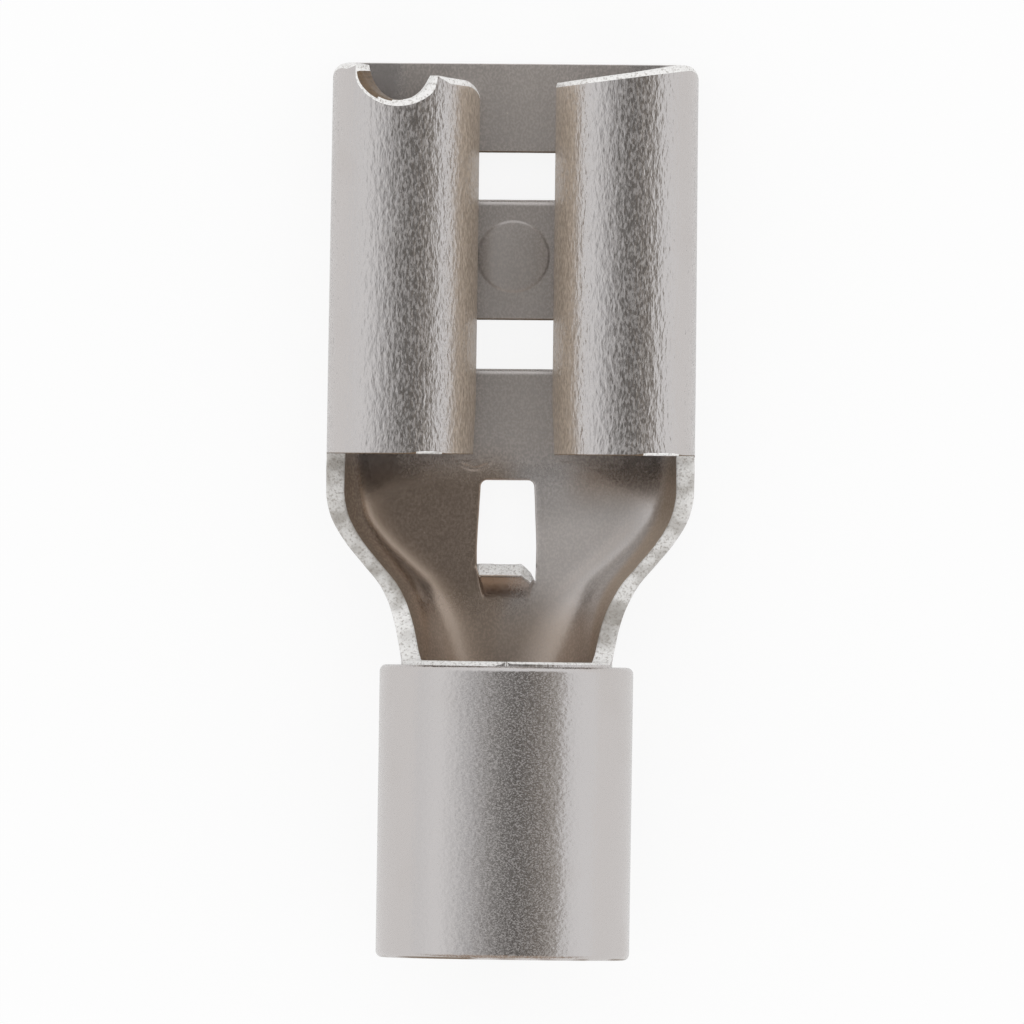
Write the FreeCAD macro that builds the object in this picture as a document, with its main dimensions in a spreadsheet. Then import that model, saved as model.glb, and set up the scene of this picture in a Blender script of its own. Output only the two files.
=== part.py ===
import FreeCAD, Part
import math
import os
import Sketcher

# Female spade terminal, in millimetres. One folded sheet is the terminal body: a receptacle
# whose sides curl over a flat floor, a channel-shaped neck and a rolled wire barrel. A plain
# tube, the crimp sleeve, is pushed over the barrel. +Y is the way the tab comes in, +Z is up,
# and the origin is on the barrel's axis, in the plane of its wire end.

SIZES = (
    # The sheet and the receptacle
    ("sheet_thickness", 0.40),
    ("receptacle_width", 7.75),
    ("receptacle_length", 8.30),
    ("receptacle_height", 2.90),
    ("curl_radius", 1.545),
    ("corner_radius", 0.80),
    ("curl_end_gap", 0.70),
    ("curl_lead_in", 0.40),
    ("curl_inner_corner", 0.25),
    ("front_roll", 0.16),
    # The half-round notch in the left curl's front edge
    ("notch_radius", 0.89),
    ("notch_depth", 0.80),
    ("notch_offset", 2.50),
    # The two floor windows, the bridge between them and its locking dimple
    ("front_strip", 1.84),
    ("window_length", 1.03),
    ("window_width", 4.80),
    ("window_corner", 0.12),
    ("bridge_length", 2.54),
    ("edge_roll", 0.14),
    ("dimple_radius", 0.75),
    ("dimple_height", 0.14),
    ("dimple_offset", 1.20),
    ("dimple_fillet", 0.12),
    # The neck, its window and the wire stop that is bent up from the window's rear edge
    ("neck_length", 4.40),
    ("neck_flare", 0.055),
    ("neck_wall_height", 1.28),
    ("neck_window_start", 0.51),
    ("neck_window_front_width", 1.13),
    ("neck_window_width", 1.31),
    ("neck_window_taper", 0.90),
    ("neck_window_corner", 0.14),
    ("wire_stop_root", 3.03),
    ("wire_stop_bend", 0.15),
    ("wire_stop_length", 0.48),
    ("wire_stop_angle", 40.0),
    ("wire_stop_cut_across", 0.32),
    ("wire_stop_cut_along", 0.34),
    # The wire barrel and the sleeve on it
    ("barrel_diameter", 4.47),
    ("barrel_length", 6.30),
    ("barrel_side_rise", 0.34),
    ("barrel_foot_width", 0.10),
    ("seam_gap", 0.05),
    ("barrel_showing", 0.10),
    ("sleeve_clearance", 0.02),
    ("sleeve_wall", 0.43),
    ("sleeve_edge_radius", 0.14),
    ("sleeve_bore_chamfer", 0.06),
)

# How the neck passes from the flat channel to the round barrel. Each row is a station: how far
# along the neck it is, how wide, how flat its floor still is and how high its walls have risen.
# 1 is the receptacle's value and 0 is the barrel's, but for the first column.
NECK_STATIONS = (
    (0.08, 1.00, 0.985, 0.02),
    (0.20, 0.978, 0.950, 0.03),
    (0.31, 0.890, 0.880, 0.09),
    (0.42, 0.705, 0.745, 0.20),
    (0.53, 0.462, 0.570, 0.36),
    (0.63, 0.252, 0.400, 0.53),
    (0.71, 0.166, 0.270, 0.67),
    (0.82, 0.075, 0.130, 0.84),
    (0.92, 0.020, 0.050, 1.01),
)

doc = FreeCAD.newDocument("female_spade_terminal")
sheet = doc.addObject("Spreadsheet::Sheet", "sizes")
for row, (alias, number) in enumerate(SIZES, start=1):
    sheet.set(f"A{row}", alias)
    sheet.set(f"B{row}", str(number))
    sheet.setAlias(f"B{row}", alias)
doc.recompute()


class Size:
    """A length with the expression that gives it, so that each formula is written once."""

    def __init__(self, number, text):
        self.number = number
        self.text = text

    def __add__(self, other):
        other = as_size(other)
        return Size(self.number + other.number, f"({self.text} + {other.text})")

    def __sub__(self, other):
        other = as_size(other)
        return Size(self.number - other.number, f"({self.text} - {other.text})")

    def __mul__(self, other):
        other = as_size(other)
        return Size(self.number * other.number, f"({self.text} * {other.text})")

    def __truediv__(self, other):
        other = as_size(other)
        return Size(self.number / other.number, f"({self.text} / {other.text})")

    def __neg__(self):
        return Size(-self.number, f"(0 - {self.text})")

    def root(self):
        return Size(math.sqrt(self.number), f"sqrt({self.text})")

    def sine(self):
        return Size(math.sin(math.radians(self.number)), f"sin({self.text})")

    def cosine(self):
        return Size(math.cos(math.radians(self.number)), f"cos({self.text})")


def as_size(thing):
    return thing if isinstance(thing, Size) else Size(float(thing), repr(float(thing)))


def size(alias):
    return Size(float(sheet.get(alias)), f"sizes.{alias}")


def blend(share, start, end):
    """The value that lies between end (share 0) and start (share 1)."""
    return end + (start - end) * share


ZERO = as_size(0)
LINE = None


def turn_left(radius):
    return (as_size(radius), True)


def turn_right(radius):
    return (as_size(radius), False)


def new_sketch(body, name, plane, along=ZERO, across=ZERO):
    """A sketch on one of the body's own planes: along is its distance from it."""
    support = [part for part in body.Origin.OriginFeatures if part.Role == plane][0]
    sketch = body.newObject("Sketcher::SketchObject", name)
    sketch.AttachmentSupport = (support, [""])
    sketch.MapMode = "FlatFace"
    sketch.AttachmentOffset = FreeCAD.Placement(
        FreeCAD.Vector(across.number, 0, along.number), FreeCAD.Rotation())
    sketch.setExpression("AttachmentOffset.Base.x", across.text)
    sketch.setExpression("AttachmentOffset.Base.z", along.text)
    return sketch


def arc_between(first, last, radius, to_left):
    """The arc of under half a turn from first to last that bends to that side."""
    if not to_left:
        first, last = last, first
    chord = last - first
    middle = (first + last) * 0.5
    rise = math.sqrt(max(radius ** 2 - (chord.Length / 2) ** 2, 0))
    side = FreeCAD.Vector(-chord.y, chord.x, 0).normalize()
    centre = middle + side * rise
    start = math.atan2(first.y - centre.y, first.x - centre.x)
    end = math.atan2(last.y - centre.y, last.x - centre.x)
    circle = Part.Circle(centre, FreeCAD.Vector(0, 0, 1), radius)
    return Part.ArcOfCircle(circle, start, end)


def draw_loop(sketch, corners, links):
    """A closed outline. Each corner is a pair of sizes, and links[i] leads from corner i on."""
    points = [FreeCAD.Vector(x.number, y.number, 0) for x, y in corners]
    first_geometry = sketch.GeometryCount
    ends = []
    for index, link in enumerate(links):
        first = points[index]
        last = points[(index + 1) % len(points)]
        if link is LINE:
            sketch.addGeometry(Part.LineSegment(first, last), False)
            ends.append((1, 2))
        else:
            radius, to_left = link
            sketch.addGeometry(arc_between(first, last, radius.number, to_left), False)
            ends.append((1, 2) if to_left else (2, 1))
    for index, (x, y) in enumerate(corners):
        line = first_geometry + index
        before = first_geometry + (index - 1) % len(corners)
        start = ends[index][0]
        sketch.addConstraint(Sketcher.Constraint(
            "Coincident", before, ends[index - 1][1], line, start))
        bind(sketch, Sketcher.Constraint("DistanceX", -1, 1, line, start, x.number), x)
        bind(sketch, Sketcher.Constraint("DistanceY", -1, 1, line, start, y.number), y)
        if links[index] is not LINE:
            radius = links[index][0]
            bind(sketch, Sketcher.Constraint("Radius", line, radius.number), radius)


def bind(sketch, constraint, length):
    index = sketch.addConstraint(constraint)
    name = f"size_{index}"
    sketch.renameConstraint(index, name)
    sketch.setExpression(f"Constraints.{name}", length.text)


def mirrored_loop(sketch, half, links, crossings):
    """A loop that is the same on both sides of the middle. half runs up its right side, from
    the lower crossing to the upper one, and crossings are the links over the middle."""
    left = [(-x, y) for x, y in reversed(half)]
    all_links = list(links) + [crossings[1]] + list(reversed(links)) + [crossings[0]]
    draw_loop(sketch, half + left, all_links)


def draw_rectangle(sketch, left, right, low, high):
    draw_loop(sketch, [(left, low), (right, low), (right, high), (left, high)], [LINE] * 4)


def rounded_rectangle(sketch, right, low, high, radius):
    half = [(right - radius, low), (right, low + radius), (right, high - radius),
            (right - radius, high)]
    mirrored_loop(sketch, half, [turn_left(radius), LINE, turn_left(radius)], [LINE, LINE])


def add_feature(body, kind, name, profile, **settings):
    """A feature on a profile. Sizes are bound, and other settings are plain values."""
    before = body.Tip.Shape.Volume if body.Tip else 0.0
    feature = body.newObject(f"PartDesign::{kind}", name)
    feature.Profile = profile
    for key, setting in settings.items():
        if isinstance(setting, Size):
            feature.setExpression(key, setting.text)
        else:
            setattr(feature, key, setting)
    doc.recompute()
    change = feature.Shape.Volume - before
    wanted = -1 if kind in ("Pocket", "Groove") else 1
    if change * wanted <= 0:
        raise RuntimeError(f"{name} changes the volume by {change}")
    print(f"{name}: {change:+.4f} mm3")
    return feature


def dress_edges(body, kind, name, edges, radius):
    """A fillet or chamfer on the edges of the body's last feature that the test picks."""
    base = body.Tip
    picked = [f"Edge{number}" for number, edge in enumerate(base.Shape.Edges, start=1)
              if edges(edge)]
    feature = body.newObject(f"PartDesign::{kind}", name)
    feature.Base = (base, picked)
    feature.setExpression("Radius" if kind == "Fillet" else "Size", radius.text)
    doc.recompute()
    print(f"{name}: {len(picked)} edges")
    return feature


def middle_of(edge):
    return edge.valueAt((edge.FirstParameter + edge.LastParameter) / 2)


def near(first, last):
    return abs(first - last) < 1e-4


def is_circle(edge, radius):
    """Whether the edge is round with that radius. A dome's pole is an edge with no curve."""
    if edge.Degenerated or not isinstance(edge.Curve, Part.Circle):
        return False
    return near(edge.Curve.Radius, radius.number)


# Values that several features share, worked out from the driving sizes
thickness = size("sheet_thickness")
half_width = size("receptacle_width") / 2
receptacle_length = size("receptacle_length")
height = size("receptacle_height")
curl_radius = size("curl_radius")
curl_inside = curl_radius - thickness
corner = size("corner_radius")
corner_inside = corner - thickness
curl_middle = half_width - curl_radius
curl_level = height - curl_radius
curl_end_level = thickness + size("curl_end_gap")
barrel_radius = size("barrel_diameter") / 2
barrel_inside = barrel_radius - thickness
barrel_front = receptacle_length + size("neck_length")
overall_length = barrel_front + size("barrel_length")
under_curls = thickness + size("curl_end_gap") / 2


def make_receptacle(body):
    """The floor with both sides folded up and curled over, as one profile."""
    sketch = new_sketch(body, "curl_profile", "XZ_Plane")
    drop = curl_level - curl_end_level
    reach = (curl_radius * curl_radius - drop * drop).root()
    inner_share = curl_inside / curl_radius
    half = [
        (half_width - corner, ZERO),
        (half_width, corner),
        (half_width, curl_level),
        (curl_middle, height),
        (curl_middle - reach, curl_end_level),
        (curl_middle - reach * inner_share, curl_level - drop * inner_share),
        (curl_middle, height - thickness),
        (half_width - thickness, curl_level),
        (half_width - thickness, corner),
        (half_width - corner, thickness),
    ]
    links = [turn_left(corner), LINE, turn_left(curl_radius), turn_left(curl_radius), LINE,
             turn_right(curl_inside), turn_right(curl_inside), LINE, turn_right(corner_inside)]
    mirrored_loop(sketch, half, links, [LINE, LINE])
    add_feature(body, "Pad", "receptacle", sketch, Length=receptacle_length)

    def outer_front(edge):
        point = middle_of(edge)
        beside = half_width.number - abs(point.x)
        straight = near(point.z, 0) or near(beside, 0)
        curved = is_circle(edge, curl_radius) or is_circle(edge, corner)
        return near(point.y, 0) and (straight or curved)

    dress_edges(body, "Fillet", "front_rolled_edge", outer_front, size("front_roll"))


def cut_curl_fronts(body):
    """Both curls are cut back towards the middle, and the left one has a half-round notch."""
    lead_in = size("curl_lead_in")
    inner_edge = curl_middle - curl_radius
    rounding = size("curl_inner_corner")
    ahead = size("front_roll")
    slope = lead_in / (half_width - inner_edge)
    # Both outlines reach this far beyond the curls' inner edges
    past = rounding
    right = new_sketch(body, "right_curl_front", "XY_Plane", along=under_curls)
    draw_loop(right, [
        (half_width, ZERO), (half_width, ahead),
        (inner_edge - past, ahead), (inner_edge - past, -lead_in - slope * past)],
        [LINE] * 4)
    add_feature(body, "Pocket", "right_curl_slant", right, Type="ThroughAll", Reversed=True)
    left = new_sketch(body, "left_curl_front", "XY_Plane", along=under_curls)
    # The corner's arc meets the curl's inner edge without a kink
    steepness = slope + 1
    corner_arc = rounding * (steepness * steepness + 1) / 2
    corner_start = inner_edge + rounding
    draw_loop(left, [
        (-half_width, ahead), (-half_width, ZERO),
        (-corner_start, -lead_in + slope * rounding),
        (-inner_edge, -lead_in - rounding),
        (-(inner_edge - past), -lead_in - rounding), (-(inner_edge - past), ahead)],
        [LINE, LINE, turn_right(corner_arc), LINE, LINE, LINE])
    add_feature(body, "Pocket", "left_curl_slant", left, Type="ThroughAll", Reversed=True)
    notch = new_sketch(body, "curl_notch_outline", "XY_Plane", along=curl_level)
    radius = size("notch_radius")
    middle = size("notch_offset")
    centre = radius - size("notch_depth")
    draw_loop(notch, [
        (-(middle + radius), centre), (-middle, centre - radius), (-(middle - radius), centre)],
        [turn_left(radius), turn_left(radius), LINE])
    add_feature(body, "Pocket", "curl_notch", notch, Type="ThroughAll", Reversed=True)


def cut_floor(body):
    """Two windows across the floor, with the bridge and its dimple between them."""
    front = size("front_strip")
    length = size("window_length")
    bridge = size("bridge_length")
    radius = size("window_corner")
    side = size("window_width") / 2
    rear_edges = []
    sketch = new_sketch(body, "window_outlines", "XY_Plane", along=under_curls)
    for start in (front, front + length + bridge):
        rounded_rectangle(sketch, side, -(start + length), -start, radius)
        rear_edges.append(-(start + length).number)
    add_feature(body, "Pocket", "floor_windows", sketch, Length=under_curls + thickness)

    def rear_upper(edge):
        point = middle_of(edge)
        at_rear = near(point.y, rear_edges[0]) or near(point.y, rear_edges[1])
        return at_rear and near(point.z, thickness.number) and near(point.x, 0)

    dress_edges(body, "Fillet", "window_rolled_edges", rear_upper, size("edge_roll"))

    across = size("dimple_radius")
    rise = size("dimple_height")
    sphere = (across * across + rise * rise) / (rise * 2)
    middle = -(front + length + size("dimple_offset"))
    dome = new_sketch(body, "dimple_profile", "YZ_Plane", across=middle)
    draw_loop(dome, [
        (ZERO, thickness / 2), (across, thickness / 2), (across, thickness),
        (ZERO, thickness + rise)],
        [LINE, LINE, turn_left(sphere), LINE])
    add_feature(body, "Revolution", "dimple", dome, ReferenceAxis=(dome, ["V_Axis"]))
    hollow = new_sketch(body, "dimple_hollow_profile", "YZ_Plane", across=middle)
    draw_loop(hollow, [
        (ZERO, -thickness), (across, -thickness), (across, ZERO), (ZERO, rise)],
        [LINE, LINE, turn_left(sphere), LINE])
    add_feature(body, "Groove", "dimple_hollow", hollow, ReferenceAxis=(hollow, ["V_Axis"]))

    def dimple_foot(edge):
        return is_circle(edge, across) and near(middle_of(edge).z, thickness.number)

    dress_edges(body, "Fillet", "dimple_foot", dimple_foot, size("dimple_fillet"))


def channel_section(body, name, along, width, flat, top):
    """The neck's section: a flat floor, two round corners and two upright walls."""
    sketch = new_sketch(body, name, "XZ_Plane", along=along)
    outer = width - flat
    inner = outer - thickness
    half = [(flat, ZERO), (width, outer), (width, top), (width - thickness, top),
            (width - thickness, outer), (flat, thickness)]
    links = [turn_left(outer), LINE, LINE, LINE, turn_right(inner)]
    mirrored_loop(sketch, half, links, [LINE, LINE])
    return sketch


def make_neck(body):
    """A loft from the receptacle's channel to the barrel, through the stations."""
    wall = size("neck_wall_height")
    flat = half_width - corner
    foot = size("barrel_foot_width") / 2
    flared = half_width + size("neck_flare")
    sections = [channel_section(
        body, "neck_start", receptacle_length, half_width, flat, wall)]
    for number, (share, wide, level, climb) in enumerate(NECK_STATIONS, start=1):
        sections.append(channel_section(
            body, f"neck_station_{number}",
            receptacle_length + size("neck_length") * share,
            blend(wide, flared, barrel_radius),
            blend(level, flat, foot),
            blend(climb, barrel_radius, wall)))
    sections.append(channel_section(
        body, "neck_end", barrel_front, barrel_radius, foot,
        barrel_radius + size("barrel_side_rise")))
    add_feature(body, "AdditiveLoft", "neck", sections[0], Sections=sections[1:])


def make_barrel(body):
    """The rolled barrel, whose two edges meet at the top with a hairline between them."""
    sketch = new_sketch(body, "barrel_profile", "XZ_Plane", along=barrel_front)
    half_gap = size("seam_gap") / 2
    outer_drop = (barrel_radius * barrel_radius - half_gap * half_gap).root()
    inner_drop = (barrel_inside * barrel_inside - half_gap * half_gap).root()
    draw_loop(sketch, [
        (-half_gap, barrel_radius + outer_drop),
        (-barrel_radius, barrel_radius),
        (ZERO, ZERO),
        (barrel_radius, barrel_radius),
        (half_gap, barrel_radius + outer_drop),
        (half_gap, barrel_radius + inner_drop),
        (barrel_inside, barrel_radius),
        (ZERO, thickness),
        (-barrel_inside, barrel_radius),
        (-half_gap, barrel_radius + inner_drop)],
        [turn_left(barrel_radius)] * 4 + [LINE] + [turn_right(barrel_inside)] * 4 + [LINE])
    add_feature(body, "Pad", "wire_barrel", sketch, Length=size("barrel_length"))


def make_wire_stop(body):
    """The neck's window, and the tongue sheared on three sides and bent up out of it."""
    front = -(receptacle_length + size("neck_window_start"))
    root = -(receptacle_length + size("wire_stop_root"))
    narrow = size("neck_window_front_width") / 2
    wide = size("neck_window_width") / 2
    rounding = size("neck_window_corner")
    window = new_sketch(body, "neck_window_outline", "XY_Plane", along=under_curls)
    taper_end = front - size("neck_window_taper")
    half = [(wide, root), (wide, taper_end), (narrow, front - rounding),
            (narrow - rounding, front)]
    mirrored_loop(window, half, [LINE, LINE, turn_left(rounding)], [LINE, LINE])
    add_feature(body, "Pocket", "neck_window", window, Length=under_curls + thickness)

    angle = size("wire_stop_angle")
    inside = size("wire_stop_bend")
    outside = inside + thickness
    along = size("wire_stop_length") * angle.cosine()
    upward = size("wire_stop_length") * angle.sine()
    level = thickness + inside
    under_bend = (root + outside * angle.sine(), level - outside * angle.cosine())
    over_bend = (root + inside * angle.sine(), level - inside * angle.cosine())
    profile = new_sketch(body, "wire_stop_profile", "YZ_Plane")
    draw_loop(profile, [
        (root, ZERO), under_bend,
        (under_bend[0] + along, under_bend[1] + upward),
        (over_bend[0] + along, over_bend[1] + upward),
        over_bend, (root, thickness)],
        [turn_left(outside), LINE, LINE, LINE, turn_right(inside), LINE])
    add_feature(body, "Pad", "wire_stop", profile, Length=wide * 2, Midplane=True)

    tip = under_bend[0] + along
    cut = new_sketch(body, "wire_stop_cut_outline", "XY_Plane")
    across_cut = size("wire_stop_cut_across")
    along_cut = size("wire_stop_cut_along")
    draw_loop(cut, [
        (wide - across_cut, tip), (wide, tip - along_cut), (wide, tip)],
        [LINE, LINE, LINE])
    add_feature(body, "Pocket", "wire_stop_cut_corner", cut,
                Type="ThroughAll", Reversed=True)


def make_terminal_body():
    body = doc.addObject("PartDesign::Body", "terminal_body")
    body.Label = "terminal_body"
    make_receptacle(body)
    cut_curl_fronts(body)
    cut_floor(body)
    make_neck(body)
    make_barrel(body)
    make_wire_stop(body)
    body.setExpression("Placement.Base.y", overall_length.text)
    body.setExpression("Placement.Base.z", (-barrel_radius).text)
    return body


def make_crimp_sleeve():
    """A seamless tube with rolled outer edges, flush with the barrel's wire end."""
    body = doc.addObject("PartDesign::Body", "crimp_sleeve")
    body.Label = "crimp_sleeve"
    inside = barrel_radius + size("sleeve_clearance")
    outside = inside + size("sleeve_wall")
    length = size("barrel_length") - size("barrel_showing")
    sketch = new_sketch(body, "sleeve_profile", "YZ_Plane")
    draw_rectangle(sketch, ZERO, length, inside, outside)
    add_feature(body, "Revolution", "sleeve_tube", sketch, ReferenceAxis=(sketch, ["H_Axis"]))

    def outer_end(edge):
        return is_circle(edge, outside)

    def bore_end(edge):
        return is_circle(edge, inside)

    dress_edges(body, "Fillet", "sleeve_outer_edges", outer_end, size("sleeve_edge_radius"))
    dress_edges(body, "Chamfer", "sleeve_bore_edges", bore_end, size("sleeve_bore_chamfer"))
    body.Placement = FreeCAD.Placement()
    return body


def check_document():
    for thing in doc.Objects:
        if "Invalid" in thing.State or "Error" in thing.State:
            raise RuntimeError(f"{thing.Name} failed: {thing.State}")


def export(body):
    shape = body.Shape
    if shape.isNull() or not shape.isValid() or len(shape.Solids) != 1:
        raise RuntimeError(f"{body.Label} has a bad shape")
    shape.exportStep(f"parts/{body.Label}.step")
    box = shape.BoundBox
    print(f"{body.Label}: {shape.Volume:.3f} mm3, {box.XLength:.3f} x {box.YLength:.3f}"
          f" x {box.ZLength:.3f} mm, {len(shape.Faces)} faces")


os.makedirs("parts", exist_ok=True)
pieces = [make_terminal_body(), make_crimp_sleeve()]
doc.recompute()
check_document()
for piece in pieces:
    export(piece)
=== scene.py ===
# %% [markdown]
# A female spade terminal, made the way the real one is: a flat blank is cut out of thin sheet,
# then folded. The terminal lies on its back with the mouth away from us, at its real size, and
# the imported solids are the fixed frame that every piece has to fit.

# %% Load the frame
import math

import bmesh
import bpy
import numpy as np
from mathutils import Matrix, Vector
from mathutils.geometry import delaunay_2d_cdt


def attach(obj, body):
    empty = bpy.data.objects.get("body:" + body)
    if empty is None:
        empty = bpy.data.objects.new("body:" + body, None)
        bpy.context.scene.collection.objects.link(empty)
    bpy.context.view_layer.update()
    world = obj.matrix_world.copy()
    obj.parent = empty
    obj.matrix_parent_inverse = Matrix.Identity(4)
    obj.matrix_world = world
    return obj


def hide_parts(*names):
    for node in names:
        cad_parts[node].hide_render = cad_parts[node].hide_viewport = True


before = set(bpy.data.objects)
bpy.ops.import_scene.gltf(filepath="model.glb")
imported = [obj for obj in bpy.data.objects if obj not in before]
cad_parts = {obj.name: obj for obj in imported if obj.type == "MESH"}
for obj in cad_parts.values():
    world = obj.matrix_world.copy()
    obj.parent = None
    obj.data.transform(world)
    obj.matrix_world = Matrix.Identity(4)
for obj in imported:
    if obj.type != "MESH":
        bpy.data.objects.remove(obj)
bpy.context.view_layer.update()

MM = 0.001

# %% [markdown]
# Every length below is in millimetres and is the real part's. Distances "along" are measured
# from the mouth towards the wire, because that is how the blank is laid out.

# %% Sizes of the sheet
THICK = 0.40
HALF = THICK / 2
RECEPTACLE_HALF = 3.875
RECEPTACLE_LONG = 8.30
RECEPTACLE_HIGH = 2.90
CORNER = 0.80
MOUTH_ROUND = 0.22
CURL = 1.545
CURL_LEVEL = RECEPTACLE_HIGH - CURL
CURL_END_LEVEL = 1.10
LEAD_IN = 0.40
INNER_CORNER = 0.25
NOTCH_RADIUS = 0.89
NOTCH_DEPTH = 0.80
NOTCH_ACROSS = 2.50
NECK_LONG = 4.40
BARREL = 2.235
SEAM_GAP = 0.006
TOTAL_LONG = 19.0
WINDOWS = ((1.89, 2.885), (5.44, 6.475))
WINDOW_HALF = 2.40
WINDOW_CORNER = 0.12
DIMPLE_RADIUS = 0.75
DIMPLE_RISE = 0.06
DIMPLE_STEP = 0.016
DIMPLE_EDGE = 0.05
DIMPLE_ALONG = 4.09
NECK_WINDOW = 8.84
NECK_WINDOW_TAPER = 1.40
NECK_WINDOW_HALVES = (0.585, 0.648)
NECK_WINDOW_ASIDE = -0.06
NECK_WINDOW_CORNER = 0.14
STOP_ROOT = 11.46
STOP_BEND = 0.95
STOP_STRAIGHT = 0.09
STOP_ANGLE = math.radians(44)
STOP_CUT = (0.32, 0.34)
STOP_TIP = STOP_ROOT - STOP_BEND * STOP_ANGLE - STOP_STRAIGHT
BARREL_FRONT = RECEPTACLE_LONG + NECK_LONG
CURL_MIDDLE = RECEPTACLE_HALF - CURL
CURL_MID_RADIUS = CURL - HALF
CORNER_ARC = (CORNER - HALF) * math.pi / 2
SIDE_LONG = CURL_LEVEL - CORNER
CURL_START = RECEPTACLE_HALF - CORNER + CORNER_ARC + SIDE_LONG
CURL_TURN = math.pi + math.asin((CURL_LEVEL - CURL_END_LEVEL) / CURL)
CURL_END = CURL_START + CURL_MID_RADIUS * CURL_TURN
BARREL_END = math.pi * (BARREL - HALF) - SEAM_GAP / 2
print(f"the blank is {2 * CURL_END:.1f} mm wide at the curls and {2 * BARREL_END:.1f} mm at"
      f" the barrel")

# %% [markdown]
# The neck changes from a flat channel to a round tube. A few stations say how wide it is, how
# flat its floor still is and how high its walls are, and a smooth curve runs through them.

# %% The neck's stations
FLARED_HALF = 3.908
FLAT_HALF = RECEPTACLE_HALF - CORNER
FOOT = 0.05
WALL_TOP = 1.28
BARREL_SIDE_TOP = 2.575
STATIONS = (
    (0.08, 1.00, 0.985, 0.02),
    (0.20, 0.998, 0.950, 0.03),
    (0.31, 0.928, 0.880, 0.09),
    (0.42, 0.760, 0.745, 0.20),
    (0.53, 0.524, 0.570, 0.36),
    (0.63, 0.306, 0.400, 0.53),
    (0.71, 0.196, 0.270, 0.67),
    (0.82, 0.097, 0.130, 0.84),
    (0.92, 0.038, 0.050, 1.01),
)


def mix(share, start, end):
    """start where the share is 1, end where it is 0."""
    return end + (start - end) * share


station_at = np.array([0.0] + [row[0] for row in STATIONS] + [1.0]) * NECK_LONG + RECEPTACLE_LONG
station_values = np.array(
    [(RECEPTACLE_HALF, FLAT_HALF, WALL_TOP)]
    + [(mix(wide, FLARED_HALF, BARREL), mix(level, FLAT_HALF, FOOT),
        mix(climb, BARREL, WALL_TOP)) for _, wide, level, climb in STATIONS]
    + [(BARREL, FOOT, BARREL_SIDE_TOP)])


def through_stations(along):
    """Width, flat floor and wall top at each place, on cubic curves that begin level."""
    slopes = np.gradient(station_values, station_at, axis=0)
    slopes[0] = 0
    row = np.clip(np.searchsorted(station_at, along, side="right") - 1, 0, len(station_at) - 2)
    span = station_at[row + 1] - station_at[row]
    share = np.clip((along - station_at[row]) / span, 0, 1)[:, None]
    span = span[:, None]
    values = ((1 + 2 * share) * (1 - share) ** 2 * station_values[row]
              + share * (1 - share) ** 2 * span * slopes[row]
              + share ** 2 * (3 - 2 * share) * station_values[row + 1]
              + share ** 2 * (share - 1) * span * slopes[row + 1])
    values[:, 0] = np.minimum(values[:, 0], FLARED_HALF)
    return values


def neck_edge(along):
    """How far from the middle the blank's edge lies in the neck, measured along the sheet."""
    width, flat, top = through_stations(np.atleast_1d(np.asarray(along, float))).T
    return flat + (width - flat - HALF) * math.pi / 2 + top - (width - flat)


neck_rows = np.linspace(RECEPTACLE_LONG, BARREL_FRONT, 7)
print("the neck's half widths", np.round(through_stations(neck_rows)[:, 0], 2))

# %% [markdown]
# Folding is one function. It takes a place on the flat blank, across and along, and a depth in
# the sheet's thickness, and gives the point in space. Across the sheet there is always the same
# chain: a flat floor, a corner, a straight wall and a curl. The sheet's turn is known at each
# place of that chain, and adding up many small steps in the direction of that turn gives the
# section. Real bends begin softly, and this way they can.

# %% How far the sheet has turned
CURL_BLEND = 0.40
TALL_WALL = 9.0
SHARP_BEND = 0.05
NECK_SOFTNESS = 0.45
TROUGH_TILT = math.radians(5.5)
RIGHT_TROUGH = 1.25
RIGHT_SOFTNESS = 1.15
WALL_LEAN = math.radians(7)


def smooth_step(value):
    value = np.clip(value, 0, 1)
    return value * value * (3 - 2 * value)


def rise(value, start, over):
    """0 up to the start, and a soft climb to 1 over the given length."""
    return smooth_step((value - start) / over)


def fall(value, end, over):
    """A soft way down to 0 at the end, over the given length, and 1 before it."""
    return smooth_step((end - value) / over)


def soft_ramp(value, softness):
    """A ramp from 0 to 1 between 0 and 1, whose two kinks are spread over the softness."""
    def area(x):
        return np.where(x < 1, np.maximum(x, 0) ** 2 / 2, x - 0.5)
    return (area(value + softness) - area(value - softness)) / (2 * softness)


def section_at(along):
    """The chain's sizes at each place along: floor, corner, wall, curl's bend and softness."""
    neck = through_stations(along)
    in_receptacle = along <= RECEPTACLE_LONG
    in_barrel = along >= BARREL_FRONT
    flat = np.where(in_receptacle, FLAT_HALF, np.where(in_barrel, 0.0, neck[:, 1]))
    corner = np.where(in_receptacle, CORNER, np.where(in_barrel, BARREL, neck[:, 0] - neck[:, 1]))
    rolled = smooth_step((along - BARREL_FRONT + CURL_BLEND) / CURL_BLEND)
    wall = np.where(in_receptacle, SIDE_LONG, np.where(rolled > 0, 0.0, TALL_WALL))
    bend = np.where(in_receptacle, 1 / CURL_MID_RADIUS, rolled / (BARREL - HALF))
    before_barrel = fall(along, BARREL_FRONT, 1.8)
    softness = SHARP_BEND + NECK_SOFTNESS * rise(along, 6.9, 1.4) * before_barrel
    tilt = TROUGH_TILT * rise(along, 7.9, 1.7) * before_barrel
    lean = WALL_LEAN * rise(along, RECEPTACLE_LONG, 0.8) * before_barrel
    return flat, (corner - HALF) * math.pi / 2, wall, bend, softness, tilt, lean


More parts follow.
